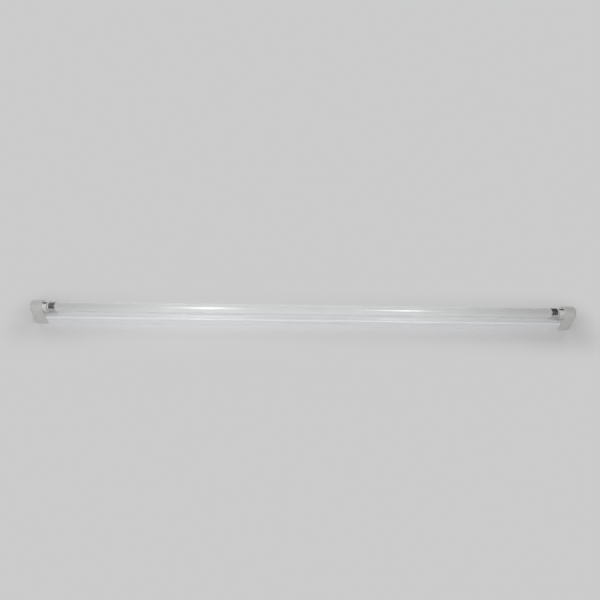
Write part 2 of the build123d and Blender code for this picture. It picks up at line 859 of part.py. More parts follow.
def supply_wires(side):
    """One pole of the supply: left inlet to the block, and the block to the right inlet."""
    pin = side * inlet_pin_pitch
    outer = side * outer_hole_pitch
    inner = side * inner_hole_pitch
    lane = side * mains_lane
    entry = terminal_left + wire_entry
    turn_x = terminal_left - terminal_run
    incoming = wire(
        [
            (-pin_tail_end, pin, inlet_axis),
            (-cap_inner + inlet_run, pin, inlet_axis),
            (turn_x, outer, hole_z),
            (entry, outer, hole_z),
        ],
        mains_wire_radius,
    )
    through = wire(
        [
            (entry, inner, hole_z),
            (turn_x, inner, hole_z),
            (turn_x, lane, lane_z),
            (cap_inner - climb_start, lane, lane_z),
            (cap_inner - climb_end, pin, inlet_axis),
            (pin_tail_end, pin, inlet_axis),
        ],
        mains_wire_radius,
    )
    return group(incoming, through)


def earth_wires():
    """Earth from the left inlet to the tab, and from the tab to the right inlet."""
    post_z = channel_wall + tab_thickness + tab_post_height / 2
    from_left = wire(
        [
            (-pin_tail_end, earth_lane, inlet_axis),
            (-cap_inner + tab_drop_start, earth_lane, inlet_axis),
            (tab_right - tab_drop_end, earth_lane, post_z),
            (tab_right - tab_thickness, earth_lane, post_z),
        ],
        mains_wire_radius,
    )
    exit_x = tab_right + tab_exit_run
    to_right = wire(
        [
            (tab_right, earth_lane, post_z),
            (exit_x, earth_lane, post_z),
            (exit_x + tab_exit_drop, earth_lane, lane_z),
            (cap_inner - climb_start, earth_lane, lane_z),
            (cap_inner - climb_end, earth_lane, inlet_axis),
            (pin_tail_end, earth_lane, inlet_axis),
        ],
        mains_wire_radius,
    )
    return group(from_left, to_right)


def contact_riser(end, side):
    """The last points of a lamp wire: up inside the cap to the tail of its contact."""
    x = end * contact_tail_x
    tail = side * (contact_y + contact_thickness / 2)
    return [
        (x, side * riser_lane, inlet_axis),
        (x, tail, holder_inner_foot + riser_clear),
        (x, tail, contact_tail_foot),
    ]


def lamp_wires_right():
    """Two wires from the lamp block, along the screw ports, to the right holder."""
    wires = []
    for side in (-1, 1):
        outer = side * outer_hole_pitch
        points = [
            (terminal_right - wire_entry, outer, hole_z),
            (terminal_right + ledge_drop_start, outer, hole_z),
            (terminal_right + ledge_drop_end, outer, ledge_lane_z),
            (cap_inner - ledge_lane_end, outer, ledge_lane_z),
        ]
        wires.append(wire(points + contact_riser(1, side), lamp_wire_radius))
    return group(*wires)


def lamp_wires_left():
    """Two wires from the lamp block, back under the board, to the left holder."""
    wires = []
    for side in (-1, 1):
        inner = side * inner_hole_pitch
        lane = side * lamp_lane
        turn_x = terminal_right + terminal_run
        points = [
            (terminal_right - wire_entry, inner, hole_z),
            (turn_x, inner, hole_z),
            (turn_x, lane, lamp_lane_z),
            (-cap_inner + lamp_climb_start, lane, lamp_lane_z),
            (-cap_inner + lamp_climb_middle, lane, board_bottom + lamp_climb_clear),
            (-cap_inner + lamp_climb_end, side * riser_lane, rail_top + lamp_climb_clear),
        ]
        wires.append(wire(points + contact_riser(-1, side), lamp_wire_radius))
    return group(*wires)


def both_ends(name, piece):
    """A piece of the right end and its mirror image at the left end."""
    return {f"{name}_right": piece, f"{name}_left": mirror(piece, about=Plane.YZ)}


pieces = {
    "channel": channel_piece(),
    "reflector_cover": cover_piece(),
    **both_ends("end_cap", end_cap()),
    **both_ends("cap_screws", cap_screws()),
    **both_ends("inlet", inlet()),
    **both_ends("inlet_pins", inlet_pins()),
    **both_ends("lampholder", lampholder()),
    **both_ends("holder_face", holder_face()),
    **both_ends("rotor", rotor()),
    **both_ends("lamp_contacts", lamp_contacts()),
    "lamp_tube": lamp_tube(),
    **both_ends("lamp_cap", lamp_cap()),
    **both_ends("lamp_insulator", lamp_insulator()),
    **both_ends("lamp_pins", lamp_pins()),
    **both_ends("lamp_stem", lamp_stem()),
    **both_ends("cathode", cathode()),
    "ballast_board": board(),
    "insulation_liner": liner(),
    "board_pads": pads(),
    "mains_terminal": mains_terminal(),
    "fuse": fuse(component_start["fuse"]),
    "varistor": varistor(component_start["fuse"]),
    "line_filter_choke": line_choke(component_start["line_filter_choke"]),
    "rectifier_diodes": diodes(component_start["rectifier_diodes"]),
    "smoothing_capacitor": smoothing_capacitor(component_start["smoothing_capacitor"]),
    "drive_transformer": drive_transformer(component_start["drive_transformer"]),
    "switching_transistors": transistors(component_start["switching_transistors"]),
    "lamp_choke_core": choke_core(component_start["lamp_choke"]),
    "lamp_choke_coil": choke_coil(component_start["lamp_choke"]),
    "resonant_capacitor": resonant_capacitor(component_start["resonant_capacitor"]),
    "coupling_capacitors": coupling_capacitors(component_start["coupling_capacitors"]),
    "resistors": resistors(component_start["resistors"]),
    "lamp_terminal": lamp_terminal(),
    "live_wires": supply_wires(-1),
    "neutral_wires": supply_wires(1),
    "earth_wires": earth_wires(),
    "lamp_wires_left": lamp_wires_left(),
    "lamp_wires_right": lamp_wires_right(),
    "earth_tab": earth_tab(),
    "earth_rivet": earth_rivet(),
}

os.makedirs("parts", exist_ok=True)
for node, piece in pieces.items():
    export_step(piece, f"parts/{node}.step")
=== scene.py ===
import math

import bpy
import numpy as np
from mathutils import Matrix, Vector


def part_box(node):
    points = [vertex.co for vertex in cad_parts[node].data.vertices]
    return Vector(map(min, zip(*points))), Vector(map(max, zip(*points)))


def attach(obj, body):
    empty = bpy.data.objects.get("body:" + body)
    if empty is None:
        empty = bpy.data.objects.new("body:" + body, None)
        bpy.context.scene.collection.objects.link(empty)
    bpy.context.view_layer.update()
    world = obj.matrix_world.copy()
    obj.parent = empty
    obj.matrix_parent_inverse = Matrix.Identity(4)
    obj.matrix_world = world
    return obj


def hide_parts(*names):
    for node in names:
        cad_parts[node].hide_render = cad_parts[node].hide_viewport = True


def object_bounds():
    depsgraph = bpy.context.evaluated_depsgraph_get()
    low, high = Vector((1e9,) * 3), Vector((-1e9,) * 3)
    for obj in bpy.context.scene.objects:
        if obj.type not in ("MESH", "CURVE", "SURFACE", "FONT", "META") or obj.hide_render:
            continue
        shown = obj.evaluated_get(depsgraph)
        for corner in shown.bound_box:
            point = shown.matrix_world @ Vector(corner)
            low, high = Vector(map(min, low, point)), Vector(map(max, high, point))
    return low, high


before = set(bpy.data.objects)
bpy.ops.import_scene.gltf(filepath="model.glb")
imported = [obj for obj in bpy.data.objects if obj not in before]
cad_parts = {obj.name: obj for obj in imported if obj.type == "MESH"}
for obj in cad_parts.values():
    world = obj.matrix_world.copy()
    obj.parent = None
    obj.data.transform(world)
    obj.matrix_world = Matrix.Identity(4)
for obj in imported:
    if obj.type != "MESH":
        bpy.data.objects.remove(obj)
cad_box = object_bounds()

scene = bpy.context.scene
scene.view_settings.view_transform = "Standard"


# Channel
# The body of the light: one aluminium extrusion with a lip along each top edge, painted glossy white.
# The lines that the extrusion die leaves along its length still show faintly through the paint.
PAINT_COLOURS = ((0.79, 0.795, 0.81), (0.755, 0.76, 0.78))
PAINT_ROUGHNESS = (0.16, 0.26)
PAINT_GLOSS = 0.7
PAINT_LINES_ALONG = 3.0
PAINT_LINES_ACROSS = 850.0
PAINT_LINE_DEPTH = 0.00004
# The lips' tops are painted paler than the rest of the channel: a painted highlight along them.
LIP_HIGHLIGHT_COLOUR = (0.85, 0.855, 0.86)
LIP_HIGHLIGHT_START = 0.0135
LIP_HIGHLIGHT_FULL = 0.0143
LINE_DETAIL = 3.0
DUST_COLOUR = (0.62, 0.61, 0.59)
DUST_PATCHES = 70.0
DUST_DETAIL = 6.0
DUST_RAGGEDNESS = 0.7
CHANNEL_DUST = 0.12
EVEN_RAGGEDNESS = 0.5
NOISE_LOW = 0.32
NOISE_HIGH = 0.68


def start_group(name, inputs, output):
    """Shader node group with number inputs and one number output: the tree, its inputs and its result."""
    tree = bpy.data.node_groups.new(name, "ShaderNodeTree")
    for label in inputs:
        tree.interface.new_socket(label, in_out="INPUT", socket_type="NodeSocketFloat")
    tree.interface.new_socket(output, in_out="OUTPUT", socket_type="NodeSocketFloat")
    given = tree.nodes.new("NodeGroupInput").outputs
    result = tree.nodes.new("NodeGroupOutput").inputs[output]
    return tree, given, result


def spread_noise(tree, scales, detail, raggedness=EVEN_RAGGEDNESS):
    """Noise on object coordinates that are scaled by one output for each axis.

    Noise keeps near one half, so its middle band is spread to the whole range from 0 to 1.
    """
    place = tree.nodes.new("ShaderNodeTexCoord")
    factors = tree.nodes.new("ShaderNodeCombineXYZ")
    scaled = tree.nodes.new("ShaderNodeVectorMath")
    scaled.operation = "MULTIPLY"
    noise = tree.nodes.new("ShaderNodeTexNoise")
    noise.inputs["Scale"].default_value = 1.0
    noise.inputs["Detail"].default_value = detail
    noise.inputs["Roughness"].default_value = raggedness
    spread = tree.nodes.new("ShaderNodeMapRange")
    spread.inputs["From Min"].default_value = NOISE_LOW
    spread.inputs["From Max"].default_value = NOISE_HIGH
    for scale, factor in zip(scales, factors.inputs):
        tree.links.new(scale, factor)
    tree.links.new(place.outputs["Object"], scaled.inputs[0])
    tree.links.new(factors.outputs["Vector"], scaled.inputs[1])
    tree.links.new(scaled.outputs["Vector"], noise.inputs["Vector"])
    tree.links.new(noise.outputs["Fac"], spread.inputs["Value"])
    return spread.outputs["Result"]


def calculate(tree, operation, *values):
    """One step of arithmetic on one or two outputs, with its result kept between 0 and 1."""
    step = tree.nodes.new("ShaderNodeMath")
    step.operation = operation
    step.use_clamp = True
    for value, socket in zip(values, step.inputs):
        tree.links.new(value, socket)
    return step.outputs["Value"]


def drawn_lines_group():
    """Fine lines: noise that is scaled one way along X and another across it."""
    tree, given, result = start_group("drawn_lines", ("Along", "Across"), "Lines")
    scales = (given["Along"], given["Across"], given["Across"])
    tree.links.new(spread_noise(tree, scales, LINE_DETAIL), result)
    return tree


def settled_dust_group():
    """Dust that lies on what faces up: patchy noise times the upward part of the normal times an amount."""
    tree, given, result = start_group("settled_dust", ("Patches", "Amount"), "Dust")
    patches = spread_noise(tree, [given["Patches"]] * 3, DUST_DETAIL, DUST_RAGGEDNESS)
    place = tree.nodes.new("ShaderNodeTexCoord")
    facing = tree.nodes.new("ShaderNodeSeparateXYZ")
    tree.links.new(place.outputs["Normal"], facing.inputs["Vector"])
    settled = calculate(tree, "MULTIPLY", patches, facing.outputs["Z"])
    tree.links.new(calculate(tree, "MULTIPLY", settled, given["Amount"]), result)
    return tree


drawn_lines = drawn_lines_group()
settled_dust = settled_dust_group()


def new_finish(name):
    """An empty material: the material, its node tree and its surface shader."""
    finish = bpy.data.materials.new(name)
    finish.use_nodes = True
    return finish, finish.node_tree, finish.node_tree.nodes["Principled BSDF"]


def effect(tree, group, **values):
    """A shared effect placed in a material with its own values; gives its output."""
    node = tree.nodes.new("ShaderNodeGroup")
    node.node_tree = group
    for label, value in values.items():
        node.inputs[label].default_value = value
    return node.outputs[0]


def blend_colours(tree, mask, plain, marked):
    """A colour that goes from plain to marked where the mask rises; each may be a colour or an output."""
    mix = tree.nodes.new("ShaderNodeMix")
    mix.data_type = "RGBA"
    tree.links.new(mask, mix.inputs["Factor"])
    ends = [socket for socket in mix.inputs if socket.type == "RGBA"]
    for socket, colour in zip(ends, (plain, marked)):
        if isinstance(colour, tuple):
            socket.default_value = (*colour, 1.0)
        else:
            tree.links.new(colour, socket)
    return next(socket for socket in mix.outputs if socket.type == "RGBA")


def between(tree, mask, low, high):
    """A number that goes from low to high as the mask goes from 0 to 1."""
    spread = tree.nodes.new("ShaderNodeMapRange")
    spread.inputs["To Min"].default_value = low
    spread.inputs["To Max"].default_value = high
    tree.links.new(mask, spread.inputs["Value"])
    return spread.outputs["Result"]


def smooth_rise(tree, value, start, full):
    """A mask that rises smoothly from 0 to 1 as a value goes from its start to where it is full."""
    rise = tree.nodes.new("ShaderNodeMapRange")
    rise.interpolation_type = "SMOOTHSTEP"
    rise.inputs["From Min"].default_value = start
    rise.inputs["From Max"].default_value = full
    tree.links.new(value, rise.inputs["Value"])
    return rise.outputs["Result"]


def along_axis(tree, axis, start, full):
    """A mask that rises with the distance from the middle along an axis."""
    place = tree.nodes.new("ShaderNodeTexCoord")
    parts = tree.nodes.new("ShaderNodeSeparateXYZ")
    tree.links.new(place.outputs["Object"], parts.inputs["Vector"])
    from_middle = calculate(tree, "ABSOLUTE", parts.outputs[axis])
    return smooth_rise(tree, from_middle, start, full)


def raise_surface(tree, shader, height, depth):
    """Fine relief of the given depth in metres on the shader's normal."""
    bump = tree.nodes.new("ShaderNodeBump")
    bump.inputs["Distance"].default_value = depth
    tree.links.new(height, bump.inputs["Height"])
    tree.links.new(bump.outputs["Normal"], shader.inputs["Normal"])


def painted_metal(name, colours, roughness, gloss, dust_amount, edge):
    """White paint over drawn lines, with a little dust on what faces up.

    The colours are the paint's and its lines'. The edge is a band of painted light in another colour, with
    the axis along which it comes in and where it starts and is full: a painted highlight on the channel's
    lips, painted shade on the reflector's edges beside them.
    """
    finish, tree, shader = new_finish(name)
    lines = effect(tree, drawn_lines, Along=PAINT_LINES_ALONG, Across=PAINT_LINES_ACROSS)
    dust = effect(tree, settled_dust, Patches=DUST_PATCHES, Amount=dust_amount)
    edge_colour, axis, start, full = edge
    paint = blend_colours(tree, lines, *colours)
    # The edge band is painted light: a painted highlight on the channel's lips, painted shade on the
    # reflector's edges.
    paint = blend_colours(tree, along_axis(tree, axis, start, full), paint, edge_colour)
    tree.links.new(blend_colours(tree, dust, paint, DUST_COLOUR), shader.inputs["Base Color"])
    shader.inputs["Specular IOR Level"].default_value = gloss
    tree.links.new(between(tree, lines, *roughness), shader.inputs["Roughness"])
    raise_surface(tree, shader, lines, PAINT_LINE_DEPTH)
    return finish


def dress(finish, *nodes):
    """Puts one finish on CAD nodes."""
    for node in nodes:
        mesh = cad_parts[node].data
        mesh.materials.clear()
        mesh.materials.append(finish)


# The channel's lips get the paler band on top, a painted highlight.
channel_paint = painted_metal(
    "channel_paint",
    PAINT_COLOURS,
    PAINT_ROUGHNESS,
    PAINT_GLOSS,
    CHANNEL_DUST,
    (LIP_HIGHLIGHT_COLOUR, "Z", LIP_HIGHLIGHT_START, LIP_HIGHLIGHT_FULL),
)
dress(channel_paint, "channel")


# Earth tab
# A bent brass tab on the channel's floor that takes the earth wires.
# A zinc-plated steel rivet holds it, with its head sunk flush with the mounting face.
BRASS_COLOURS = ((0.78, 0.6, 0.3), (0.6, 0.44, 0.22))
BRASS_ROUGHNESS = (0.2, 0.36)
BRASS_LINES = (300.0, 2500.0)
ZINC_COLOURS = ((0.62, 0.63, 0.64), (0.5, 0.5, 0.49))
ZINC_ROUGHNESS = (0.22, 0.42)
ZINC_LINES = (700.0, 700.0)


def bare_metal(name, colours, roughness, line_scales):
    """Bare metal with the lines that drawing or turning left, which stain it a little.

    The line scales are lines per metre, along X and across it.
    """
    finish, tree, shader = new_finish(name)
    along, across = line_scales
    lines = effect(tree, drawn_lines, Along=along, Across=across)
    shader.inputs["Metallic"].default_value = 1.0
    tree.links.new(blend_colours(tree, lines, *colours), shader.inputs["Base Color"])
    tree.links.new(between(tree, lines, *roughness), shader.inputs["Roughness"])
    return finish


brass = bare_metal("brass", BRASS_COLOURS, BRASS_ROUGHNESS, BRASS_LINES)
zinc = bare_metal("zinc_plate", ZINC_COLOURS, ZINC_ROUGHNESS, ZINC_LINES)
dress(brass, "earth_tab")
dress(zinc, "earth_rivet")


# Ballast board
# A lacquered laminate board that slides in between the channel's rails.
# An insulating film lies under it, and two blocks of foam keep it from rattling.
BOARD_COLOURS = ((0.06, 0.19, 0.09), (0.05, 0.15, 0.075))
BOARD_ROUGHNESS = (0.3, 0.45)
FILM_COLOURS = ((0.74, 0.74, 0.68), (0.68, 0.68, 0.62))
FILM_ROUGHNESS = (0.35, 0.5)
FOAM_COLOURS = ((0.05, 0.05, 0.05), (0.025, 0.025, 0.025))
FOAM_ROUGHNESS = (0.85, 1.0)
FOAM_CELLS = (1400.0, 0.0003)
SATIN_GRAIN = (2600.0, 0.00003)
GRAIN_DETAIL = 2.0
FLOW_SIZE = 45.0


def surface_grain_group():
    """Even grain of a given number of grains per metre: noise scaled alike along all three axes."""
    tree, given, result = start_group("surface_grain", ("Size",), "Grain")
    tree.links.new(spread_noise(tree, [given["Size"]] * 3, GRAIN_DETAIL), result)
    return tree


surface_grain = surface_grain_group()


def moulded(name, colours, roughness, grain=SATIN_GRAIN, top_highlight=None):
    """Moulded plastic: cloudy flow marks in its colour, and a fine grain in its gloss and relief.

    The grain is a number of grains per metre and their depth. A top highlight is a painted highlight: a
    paler colour towards the top, with the heights where it starts and where it is full.
    """
    finish, tree, shader = new_finish(name)
    grain_size, grain_depth = grain
    flow = effect(tree, surface_grain, Size=FLOW_SIZE)
    fine = effect(tree, surface_grain, Size=grain_size)
    shade = blend_colours(tree, flow, *colours)
    # A paler colour towards the top: a painted highlight.
    if top_highlight is not None:
        highlight_colour, start, full = top_highlight
        shade = blend_colours(tree, along_axis(tree, "Z", start, full), shade, highlight_colour)
    tree.links.new(shade, shader.inputs["Base Color"])
    tree.links.new(between(tree, fine, *roughness), shader.inputs["Roughness"])
    raise_surface(tree, shader, fine, grain_depth)
    return finish


dress(moulded("board_lacquer", BOARD_COLOURS, BOARD_ROUGHNESS), "ballast_board")
dress(moulded("insulating_film", FILM_COLOURS, FILM_ROUGHNESS), "insulation_liner")
dress(moulded("foam", FOAM_COLOURS, FOAM_ROUGHNESS, FOAM_CELLS), "board_pads")


# Ballast components
# The parts of the electronic ballast, soldered to the board in a row between its two terminal blocks.
# They are resin-dipped and moulded parts, sintered cores, a coil of enamelled copper and a glass fuse.
COMPONENT_COLOURS = {
    "terminal_plastic": ((0.04, 0.2, 0.09), (0.03, 0.16, 0.07)),
    "component_resin": ((0.02, 0.02, 0.023), (0.03, 0.03, 0.032)),
    "film_capacitor_dip": ((0.32, 0.045, 0.025), (0.26, 0.035, 0.02)),
    "varistor_dip": ((0.03, 0.07, 0.26), (0.024, 0.055, 0.2)),
    "sintered_core": ((0.03, 0.03, 0.034), (0.045, 0.045, 0.048)),
    "resistor_lacquer": ((0.5, 0.38, 0.2), (0.44, 0.33, 0.17)),
}
COMPONENT_ROUGHNESS = {
    "terminal_plastic": (0.3, 0.42),
    "component_resin": (0.42, 0.58),
    "film_capacitor_dip": (0.2, 0.34),
    "varistor_dip": (0.24, 0.38),
    "sintered_core": (0.6, 0.8),
    "resistor_lacquer": (0.3, 0.44),
}
COMPONENT_NODES = {
    "terminal_plastic": ("mains_terminal", "lamp_terminal"),
    "component_resin": ("rectifier_diodes", "switching_transistors", "smoothing_capacitor"),
    "film_capacitor_dip": ("resonant_capacitor", "coupling_capacitors"),
    "varistor_dip": ("varistor",),
    "sintered_core": ("line_filter_choke", "drive_transformer", "lamp_choke_core"),
    "resistor_lacquer": ("resistors",),
}
WINDING_COLOURS = ((0.62, 0.25, 0.1), (0.34, 0.12, 0.05))
WINDING_ROUGHNESS = (0.24, 0.4)
WINDING_LINES = (2600.0, 40.0)
CLEAR_COLOURS = ((0.9, 0.93, 0.92), (0.86, 0.9, 0.885))
CLEAR_ROUGHNESS = (0.02, 0.06)
CLEAR_GLASS_BEND = 1.5


def clear_glass(name):
    """Clear glass with a faint tint and the slight waves of drawn tube in its gloss."""
    finish, tree, shader = new_finish(name)
    waves = effect(tree, surface_grain, Size=FLOW_SIZE)
    shader.inputs["Transmission Weight"].default_value = 1.0
    shader.inputs["IOR"].default_value = CLEAR_GLASS_BEND
    tree.links.new(blend_colours(tree, waves, *CLEAR_COLOURS), shader.inputs["Base Color"])
    tree.links.new(between(tree, waves, *CLEAR_ROUGHNESS), shader.inputs["Roughness"])
    return finish


for name, nodes in COMPONENT_NODES.items():
    dress(moulded(name, COMPONENT_COLOURS[name], COMPONENT_ROUGHNESS[name]), *nodes)
winding = bare_metal("enamelled_copper", WINDING_COLOURS, WINDING_ROUGHNESS, WINDING_LINES)
dress(winding, "lamp_choke_coil")
glass = clear_glass("clear_glass")
dress(glass, "fuse")


# Wires
# Stranded copper wires in soft plastic, laid in the channel between inlets, ballast and lampholders.
# They are black and white for the supply, green for earth, and white to the lampholders.
WIRE_COLOURS = {
    "wire_black": ((0.02, 0.02, 0.02), (0.035, 0.035, 0.035)),
    "wire_white": ((0.7, 0.7, 0.67), (0.64, 0.64, 0.61)),
    "wire_green": ((0.03, 0.2, 0.05), (0.025, 0.16, 0.04)),
}
WIRE_NODES = {
    "wire_black": ("live_wires",),
    "wire_white": ("neutral_wires", "lamp_wires_left", "lamp_wires_right"),
    "wire_green": ("earth_wires",),
}
WIRE_ROUGHNESS = (0.35, 0.5)

for name, nodes in WIRE_NODES.items():
    dress(moulded(name, WIRE_COLOURS[name], WIRE_ROUGHNESS), *nodes)


# Reflector cover
# A thin metal strip, arched along its middle, that slides in under the channel's lips and throws light out.
# It is painted white, darker than the channel as painted shadow of the tube above, with painted shade along
# its level edges beside the lips.
# The strip's colours are darker than the channel's paint: painted shadow of the tube above it.
REFLECTOR_SHADED_COLOURS = ((0.7, 0.705, 0.72), (0.67, 0.675, 0.69))
REFLECTOR_ROUGHNESS = (0.24, 0.34)
REFLECTOR_GLOSS = 0.48
REFLECTOR_DUST = 0.2
# Painted shade along the strip's level edges, where the lips overhang it.
CORNER_SHADE_COLOUR = (0.54, 0.535, 0.525)
CORNER_SHADE_START = 0.0052
CORNER_SHADE_FULL = 0.0062
STRIP_RISE = 0.0022
STRIP_CROWN_HALF = 0.006
STRIP_FULLNESS = 1.6
STRIP_WALL = 0.0005
STRIP_EDGE = 0.0062
STRIP_STEPS = 117
CREASE_ANGLE = math.radians(35.0)


def new_piece(name, points, faces):
    """A mesh object at the origin, from whole arrays of points and of faces."""
    mesh = bpy.data.meshes.new(name)
    mesh.from_pydata(np.reshape(points, (-1, 3)).tolist(), [], np.asarray(faces).tolist())
    piece = bpy.data.objects.new(name, mesh)
    scene.collection.objects.link(piece)
    return piece


def crowned_strip(name, node):
    """Strip in a node's place: one profile carried along X from end to end, and closed there.

    The way out from the middle is raised to a power, which keeps the crown full. The top falls by the rise
    times half of one less the cosine of pi times that, down to level edges. The underside lies a thin wall
    below the top, and is level under the edges.
    """
    low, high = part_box(node)
    y = np.linspace(low.y, high.y, STRIP_STEPS)
    way_out = np.minimum(np.abs(y) / STRIP_CROWN_HALF, 1.0) ** STRIP_FULLNESS
    top = high.z - STRIP_RISE * (1.0 - np.cos(np.pi * way_out)) / 2.0
    under = np.where(np.abs(y) > STRIP_EDGE, low.z, top - STRIP_WALL)
    ring = 2 * STRIP_STEPS
    grid = np.empty((2, ring, 3))
    grid[..., 0] = [[low.x], [high.x]]
    grid[..., 1] = np.concatenate([y, y[::-1]])
    grid[..., 2] = np.concatenate([top, under[::-1]])
    first, last = np.arange(2 * ring).reshape(2, ring)
    walls = np.stack([first, last, np.roll(last, -1), np.roll(first, -1)], axis=-1)
    step = np.arange(STRIP_STEPS - 1)
    end_wall = np.stack([step, step + 1, ring - 2 - step, ring - 1 - step], axis=-1)
    strip = new_piece(name, grid, np.vstack([walls, end_wall, end_wall[:, ::-1] + ring]))
    strip.data.shade_smooth()
    strip.data.set_sharp_from_angle(angle=CREASE_ANGLE)
    return strip


# The reflector's paint carries painted shadow of the tube and painted shade along its edges.
reflector_paint = painted_metal(
    "reflector_paint",
    REFLECTOR_SHADED_COLOURS,
    REFLECTOR_ROUGHNESS,
    REFLECTOR_GLOSS,
    REFLECTOR_DUST,
    (CORNER_SHADE_COLOUR, "Y", CORNER_SHADE_START, CORNER_SHADE_FULL),
)
reflector = crowned_strip("reflector_strip", "reflector_cover")
reflector.data.materials.append(reflector_paint)
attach(reflector, "housing")
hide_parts("reflector_cover")


# End caps
# Two arch-topped caps, moulded in off-white plastic with a fine satin grain, that close the channel's ends.
# They carry the lampholders, and two zinc-plated screws in deep wells hold each to the channel.
CAP_COLOURS = ((0.6, 0.595, 0.58), (0.57, 0.565, 0.55))
CAP_ROUGHNESS = (0.36, 0.5)

cap_plastic = moulded("cap_plastic", CAP_COLOURS, CAP_ROUGHNESS)
dress(cap_plastic, "end_cap_left", "end_cap_right")
dress(zinc, "cap_screws_left", "cap_screws_right")


# Inlets
# Moulded inserts behind each end wall that take the power lead or a link to the next light.
# Three brass pins go through the back of each.
INLET_COLOURS = ((0.7, 0.7, 0.685), (0.66, 0.66, 0.645))
INLET_ROUGHNESS = (0.4, 0.55)

inlet_plastic = moulded("inlet_plastic", INLET_COLOURS, INLET_ROUGHNESS)
dress(inlet_plastic, "inlet_left", "inlet_right")
dress(brass, "inlet_pins_left", "inlet_pins_right")


# Lampholders
# Glossy white holders that stand in the caps: a body, a face plate and a slotted rotor that turns in it.
# Their tops are painted paler, a painted highlight, and two brass springs inside each press on the lamp's
# pins.
HOLDER_COLOURS = ((0.6, 0.6, 0.585), (0.57, 0.57, 0.555))
HOLDER_ROUGHNESS = (0.16, 0.24)
HOLDER_GRAIN = (900.0, 0.00001)
# A paler colour over the holders' tops: a painted highlight.
HOLDER_HIGHLIGHT_COLOUR = (0.705, 0.705, 0.69)
HOLDER_HIGHLIGHT_START = 0.033
HOLDER_HIGHLIGHT_FULL = 0.0365
ROTOR_COLOURS = ((0.76, 0.76, 0.75), (0.72, 0.72, 0.71))

holder_highlight = (HOLDER_HIGHLIGHT_COLOUR, HOLDER_HIGHLIGHT_START, HOLDER_HIGHLIGHT_FULL)
holder_plastic = moulded("holder_plastic", HOLDER_COLOURS, HOLDER_ROUGHNESS, HOLDER_GRAIN, holder_highlight)
rotor_plastic = moulded("rotor_plastic", ROTOR_COLOURS, HOLDER_ROUGHNESS, HOLDER_GRAIN)
for end in ("left", "right"):
    dress(holder_plastic, f"lampholder_{end}", f"holder_face_{end}")
    dress(rotor_plastic, f"rotor_{end}")
    dress(brass, f"lamp_contacts_{end}")


# Lamp tube
# A slim glass tube with a white powder coating inside, which looks solid white through the glossy glass.
# Its ends are drawn in a little, to go into the metal caps. The coating turns grey towards them: from use
# near the ends, and as painted shade of the light falling off along the rest.
TUBE_COLOURS = ((0.77, 0.785, 0.78), (0.745, 0.76, 0.755))
TUBE_CLOUD_SIZE = 30.0
# Grey towards both ends from a good way in: real greying near the ends, painted shade of the falling light
# elsewhere.
TUBE_END_GREY_AND_SHADE_COLOUR = (0.605, 0.607, 0.603)
TUBE_END_SHADE_START = 0.15
TUBE_END_SHADE_FULL = 0.42
COATING_ROUGHNESS = (0.45, 0.6)
COATING_GLOSS = 0.2
POWDER_ROUGHNESS = 1.0
TUBE_GLASS_ROUGHNESS = 0.22
TUBE_GLASS_BEND = 1.6
TUBE_SHOULDER = 0.0014
GLASS_WALL = 0.0008
ROUND_STEPS = 96
SHOULDER_STEPS = 10


def revolve(name, profile, axis_height):
    """Closed profile of (x, radius) points carried round a line along X at the given height.

    Point (i, j) is x_i along the line, radius_i times the cosine of turn j across it and radius_i times the
    sine of turn j above it. Both ways round close on themselves, and faces are turned to look outwards.
    """
    x, radius = profile.T
    turns = np.linspace(0.0, 2.0 * np.pi, ROUND_STEPS, endpoint=False)
    grid = np.empty((len(x), ROUND_STEPS, 3))
    grid[..., 0] = x[:, None]
    grid[..., 1] = radius[:, None] * np.cos(turns)
    grid[..., 2] = axis_height + radius[:, None] * np.sin(turns)
    index = np.arange(len(x) * ROUND_STEPS).reshape(len(x), ROUND_STEPS)
    after = np.roll(index, -1, axis=0)
    quads = np.stack([index, np.roll(index, -1, axis=1), np.roll(after, -1, axis=1), after], axis=-1)
    turning = np.sum(x * np.roll(radius, -1) - np.roll(x, -1) * radius)
    if turning > 0.0:
        quads = quads[..., ::-1]
    piece = new_piece(name, grid, quads.reshape(-1, 4))
    piece.data.shade_smooth()
    return piece


def quarter_round(centre, size, start, stop, steps):
    """Points on a quarter of an ellipse of the given size about a centre, from one angle to another."""
    angles = np.linspace(start, stop, steps)
    return np.column_stack([np.cos(angles), np.sin(angles)]) * size + centre


def tube_profile():
    """Outer wall with a rounded shoulder and a neck at each end, then the inner wall back again."""
    low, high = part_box("lamp_tube")
    outer = (high.z - low.z) / 2
    neck = outer - GLASS_WALL / 2
    centre = (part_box("lamp_cap_right")[0].x - TUBE_SHOULDER, neck)
    shoulder = quarter_round(centre, (TUBE_SHOULDER, outer - neck), np.pi / 2, 0.0, SHOULDER_STEPS)
    right = np.vstack([shoulder, [(high.x, neck), (high.x, neck - GLASS_WALL)]])
    left = right[::-1] * (-1, 1)
    return np.vstack([left, right])


